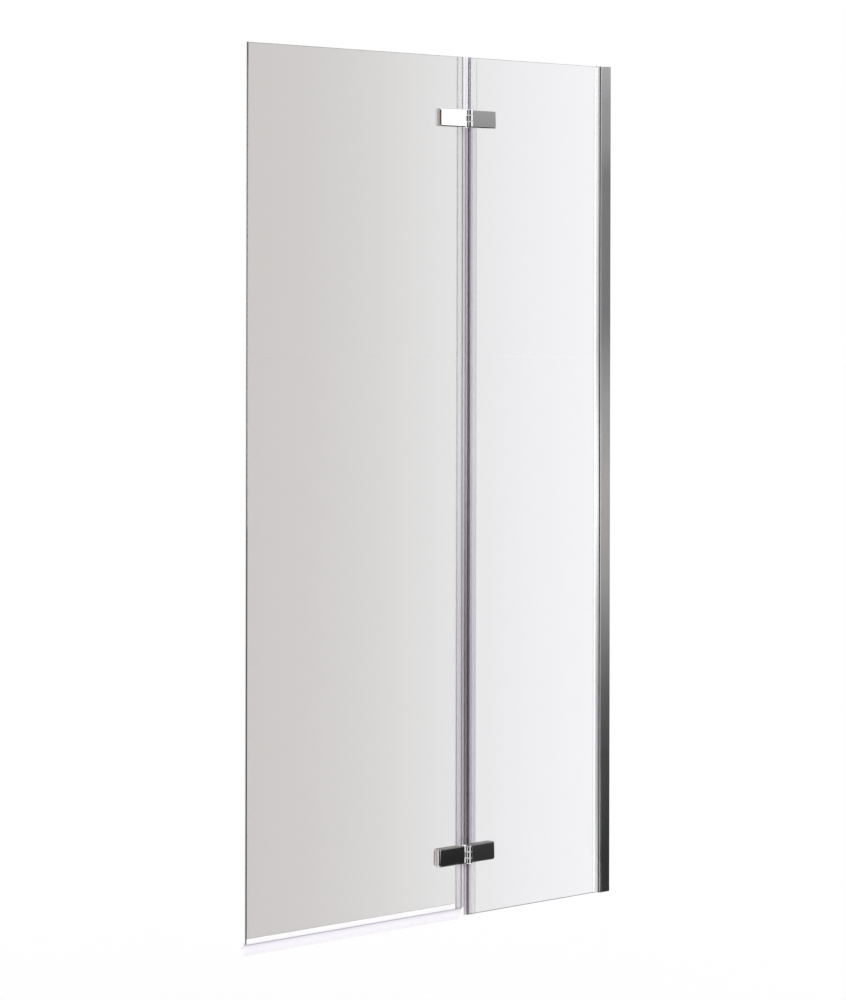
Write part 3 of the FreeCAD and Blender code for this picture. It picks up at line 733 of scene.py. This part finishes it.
def shown_to_glossy_only(obj):
    obj.visible_camera = False
    obj.visible_diffuse = False
    obj.visible_transmission = False
    obj.visible_volume_scatter = False
    obj.visible_shadow = False


def even(level, warmth=0):
    """The stops of a card with the same light all over."""
    return [(0.0, grey(level, warmth)), (1.0, grey(level, warmth))]


def card(name, places, stops, one_sided=False):
    """A studio card of four corners, low ones first, lit from its foot to its top."""
    mesh = bpy.data.meshes.new(name)
    mesh.from_pydata(places, [], [(0, 1, 2, 3)])
    obj = bpy.data.objects.new(name, mesh)
    bpy.context.scene.collection.objects.link(obj)
    graph = material_graph(name)
    height = graph.spread(graph.axis_of("Z"), places[0].z, places[2].z)
    light = graph.add("Emission", {"Color": graph.ramp(height, stops), "Strength": 1.0})
    shader = light.outputs["Emission"]
    if one_sided:
        behind = graph.add("NewGeometry").outputs["Backfacing"]
        clear = graph.add("BsdfTransparent").outputs["BSDF"]
        shader = graph.add("MixShader", {0: behind, 1: shader, 2: clear}).outputs["Shader"]
    mesh.materials.append(graph.finish(shader))
    shown_to_glossy_only(obj)


def reflected(point, axis):
    """Where the camera's ray goes from a point of a face that mirrors it along an axis."""
    mirrored_eye = EYE.copy()
    mirrored_eye[axis] = 2 * point[axis] - EYE[axis]
    return point + CARD_REACH * (point - mirrored_eye)


def front_card(name, low, high, stops):
    """A card that fills the reflection in a flat front face."""
    corners = [(low.x, low.z), (high.x, low.z), (high.x, high.z), (low.x, high.z)]
    card(name, [reflected(Vector((x, low.y, z)), 1) for x, z in corners], stops)


def end_card(name, low, high, stops):
    """A card that fills the reflection in a flat end that faces along -X."""
    corners = [(low.y, low.z), (high.y, low.z), (high.y, high.z), (low.y, high.z)]
    card(name, [reflected(Vector((low.x, y, z)), 0) for y, z in corners], stops)


def upright_places(start, end, foot, top):
    """The corners of an upright rectangle over the line between two places on the plan."""
    return [Vector((*start, foot)), Vector((*end, foot)),
            Vector((*end, top)), Vector((*start, top))]


def level_places(left, right, near, far, height):
    """The corners of an almost level rectangle, whose far side is the card's top."""
    rear = height + 0.1 * MM
    return [Vector((left, near, height)), Vector((right, near, height)),
            Vector((right, far, rear)), Vector((left, far, rear))]


# Light that the profile's long face and its narrow lip mirror, from foot to top
PROFILE_STOPS = [
    (0.000, grey(52)), (0.055, grey(54)), (0.105, grey(64)), (0.175, grey(74)), (0.250, grey(98)),
    (0.310, grey(126)), (0.385, grey(158, 1)), (0.430, grey(166, 3)), (0.500, grey(172, 3)),
    (0.600, grey(160)), (0.665, grey(136)), (0.700, grey(126)), (0.860, grey(129)),
    (0.895, grey(152)), (0.945, grey(160)), (1.000, grey(186)),
]
LIP_STOPS = [
    (0.00, grey(206)), (0.06, grey(196)), (0.12, grey(170)), (0.24, grey(148)), (0.34, grey(190)),
    (0.45, grey(248)), (0.52, grey(248)), (0.60, grey(200)), (0.68, grey(170)), (0.80, grey(186)),
    (0.90, grey(206)), (1.00, grey(224)),
]
PAST_ENDS = 20 * MM
PAST_LIP = 6 * MM
PAST_WALL = 0.1
CARDS_MEET = 1.4 * MM


def profile_cards():
    channel_low, channel_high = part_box("wall_channel")
    lip_low, lip_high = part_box("glass_channel")
    meet = channel_low.x - CARDS_MEET
    front_card("profile_card", Vector((meet, channel_low.y, channel_low.z - PAST_ENDS)),
               Vector((channel_high.x + PAST_WALL, channel_low.y, channel_high.z + PAST_ENDS)),
               PROFILE_STOPS)
    front_card("lip_card", Vector((lip_low.x - PAST_LIP, lip_low.y, lip_low.z - PAST_ENDS)),
               Vector((meet, lip_low.y, lip_high.z + PAST_ENDS)), LIP_STOPS)


# Light that each leaf's flat front mirrors, at its foot and at its top
LEAF_LEVELS = {
    "upper_fixed": (149, 162),
    "upper_moving": (275, 275),
    "lower_fixed": (48, 56),
    "lower_moving": (38, 42),
}
# Depths behind the hinge axis, and the cards' reach past the leaf and the barrel
LEAF_FACE = 3 * MM
CLAMP_END = (14 * MM, 23 * MM)
NEAR_CARD_DEPTHS = (2.9 * MM, -6.3 * MM)
BESIDE_BARREL = 6.15 * MM
PAST_BARREL = 3 * MM
PAST_LEAF = 2 * MM
ABOVE_LEAF = 1 * MM


def leaf_cards(place, stops):
    """The card for a leaf's front, and a moving leaf's cards for its end and beside its barrel."""
    low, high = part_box(f"{place}_leaf")
    low.y = AXIS.y + LEAF_FACE
    low.z -= ABOVE_LEAF
    high.z += ABOVE_LEAF
    if place.endswith("_fixed"):
        low.x = AXIS.x + PAST_BARREL
        high.x += PAST_LEAF
        front_card(f"{place}_card", low, high, stops)
        return
    if place == "upper_moving":
        card("upper_leaf_end_card", upright_places(
            (low.x - 6 * MM, -PAD_MIDDLE), (low.x, -PAD_MIDDLE), low.z, high.z), even(150, 4))
    else:
        near, far = (AXIS.y + depth for depth in CLAMP_END)
        end_card("lower_clamp_end_card", Vector((low.x, near, low.z)),
                 Vector((low.x, far, high.z)), even(118, 4))
    low.x -= PAST_LEAF
    high.x = AXIS.x - PAST_BARREL
    front_card(f"{place}_card", low, high, stops)
    beside = AXIS.x - BESIDE_BARREL
    rear, front = ((beside, AXIS.y + depth) for depth in NEAR_CARD_DEPTHS)
    card(f"{place}_near_card", upright_places(rear, front, low.z, high.z), stops, one_sided=True)


def strip_card(name, from_angle, to_angle, distance, foot, top, level):
    """An upright card beside the hinge axis, between two directions in degrees seen from above."""
    ends = []
    for angle in (from_angle, to_angle):
        turn = math.radians(angle)
        ends.append((AXIS.x + distance * math.cos(turn), AXIS.y + distance * math.sin(turn)))
    card(name, upright_places(*ends, foot, top), even(level))


def hinge_edge_cards():
    """Small cards along the hinges' level edges, which narrow bevels and end faces mirror."""
    reach = 64 * MM
    left, right = AXIS.x - reach, AXIS.x + reach
    upper_foot = leaf_boxes[0][0].z
    lower_foot, lower_top = (corner.z for corner in leaf_boxes[1])
    for name, near, far, height, stops in (
            ("upper_leaf_under_card", -9 * MM, -3.6 * MM, upper_foot - 1.5 * MM, even(34)),
            ("lower_leaf_under_card", -9 * MM, -3.6 * MM, lower_foot - 1.5 * MM, even(46)),
            ("lower_leaf_over_card", -9.2 * MM, -6.7 * MM, lower_top + 1.5 * MM, even(130, 2))):
        card(name, level_places(left, right, near, far, height), stops)
    for name, depth, level in (("lower_leaf_top_card", -PAD_MIDDLE, 124),
                               ("lower_clamp_top_card", 8.4 * MM, 112)):
        places = upright_places((left, depth), (right, depth), lower_top, lower_top + 2 * MM)
        card(name, places, even(level, 1))
    half = 12 * MM
    card("upper_barrel_under_card", level_places(
        AXIS.x - half, AXIS.x + half, AXIS.y - half, AXIS.y + half, upper_foot - 3 * MM), even(40))


profile_cards()
for place, (foot, top) in LEAF_LEVELS.items():
    leaf_cards(place, [(0.0, grey(foot)), (1.0, grey(top))])
# The dark side of the room behind the camera, the set's two sides, and the lower barrel's own strip
strip_card("camera_side_card", -158, -109, 1.5, -1.2, 1.1, 16)
strip_card("right_side_card", -33, -4, 1.5, -1.2, 1.1, 70)
strip_card("left_side_card", -207, -157, 1.5, -1.2, 1.1, 190)
strip_card("lower_barrel_card", -86, -16, 0.018, -0.617, -0.583, 44)
hinge_edge_cards()


def soft_light(name, place, strength, width):
    """A light from a direction, spread over a width in degrees."""
    lamp = bpy.data.lights.new(name, "SUN")
    lamp.energy = strength
    lamp.angle = math.radians(width)
    obj = bpy.data.objects.new(name, lamp)
    bpy.context.scene.collection.objects.link(obj)
    obj.location = place
    obj.rotation_euler = (-Vector(place)).to_track_quat("-Z", "Y").to_euler()
    obj.visible_glossy = False
    obj.visible_transmission = False
    obj.visible_camera = False


soft_light("key", (-2.6, -3.0, 4.2), strength=0.55, width=50)
soft_light("fill", (2.6, -3.0, 2.4), strength=0.3, width=60)
soft_light("back", (-1.0, 3.5, 3.4), strength=0.3, width=60)


def background_light(graph, seen, unseen):
    """One level where the camera, metal or glass sees it, and another where it lights."""
    path = graph.add("LightPath")
    direct = graph.math("MAXIMUM", path.outputs["Is Camera Ray"], path.outputs["Is Glossy Ray"])
    either = graph.math("MAXIMUM", direct, path.outputs["Is Transmission Ray"])
    return graph.spread(either, 0.0, 1.0, unseen, seen)


def make_world():
    graph = Graph(bpy.data.worlds.new("studio"))
    strength = background_light(graph, seen=1.0, unseen=0.85)
    light = graph.add("Background", {"Color": (1, 1, 1, 1), "Strength": strength})
    graph.add("OutputWorld", {"Surface": light.outputs["Background"]})
    bpy.context.scene.world = graph.owner


def make_floor():
    mesh = bpy.data.meshes.new("floor")
    corners = [(FLOOR_HALF * x, FLOOR_HALF * y, FLOOR_LEVEL)
               for x, y in ((-1, -1), (1, -1), (1, 1), (-1, 1))]
    mesh.from_pydata(corners, [], [(0, 1, 2, 3)])
    floor = bpy.data.objects.new("floor", mesh)
    bpy.context.scene.collection.objects.link(floor)
    graph = material_graph("floor")
    paint = graph.add("BsdfDiffuse", {"Color": linear(244, 244, 244)})
    strength = background_light(graph, seen=0.015, unseen=0.0)
    lift = graph.add("Emission", {"Color": (1, 1, 1, 1), "Strength": strength})
    both = graph.add("AddShader", {0: paint.outputs["BSDF"], 1: lift.outputs["Emission"]})
    mesh.materials.append(graph.finish(both.outputs["Shader"]))


def make_camera():
    forward = Vector((-math.sin(EYE_AZIMUTH), math.cos(EYE_AZIMUTH), 0))
    level_right = forward.cross(Vector((0, 0, 1)))
    right = math.cos(EYE_ROLL) * level_right + math.sin(EYE_ROLL) * Vector((0, 0, 1))
    up = right.cross(forward)
    lens = bpy.data.cameras.new("camera")
    lens.sensor_fit = "VERTICAL"
    lens.sensor_height = SENSOR
    lens.lens = FOCAL_PIXELS / PICTURE_HEIGHT * SENSOR
    lens.shift_y = -HORIZON_ABOVE_CENTRE / PICTURE_HEIGHT
    lens.clip_end = FAR_CLIP
    camera = bpy.data.objects.new("camera", lens)
    bpy.context.scene.collection.objects.link(camera)
    turn = Matrix((right, up, -forward)).transposed().to_4x4()
    camera.matrix_world = Matrix.Translation(EYE) @ turn
    bpy.context.scene.camera = camera


make_world()
make_floor()
make_camera()
bpy.context.scene.view_settings.view_transform = "Standard"
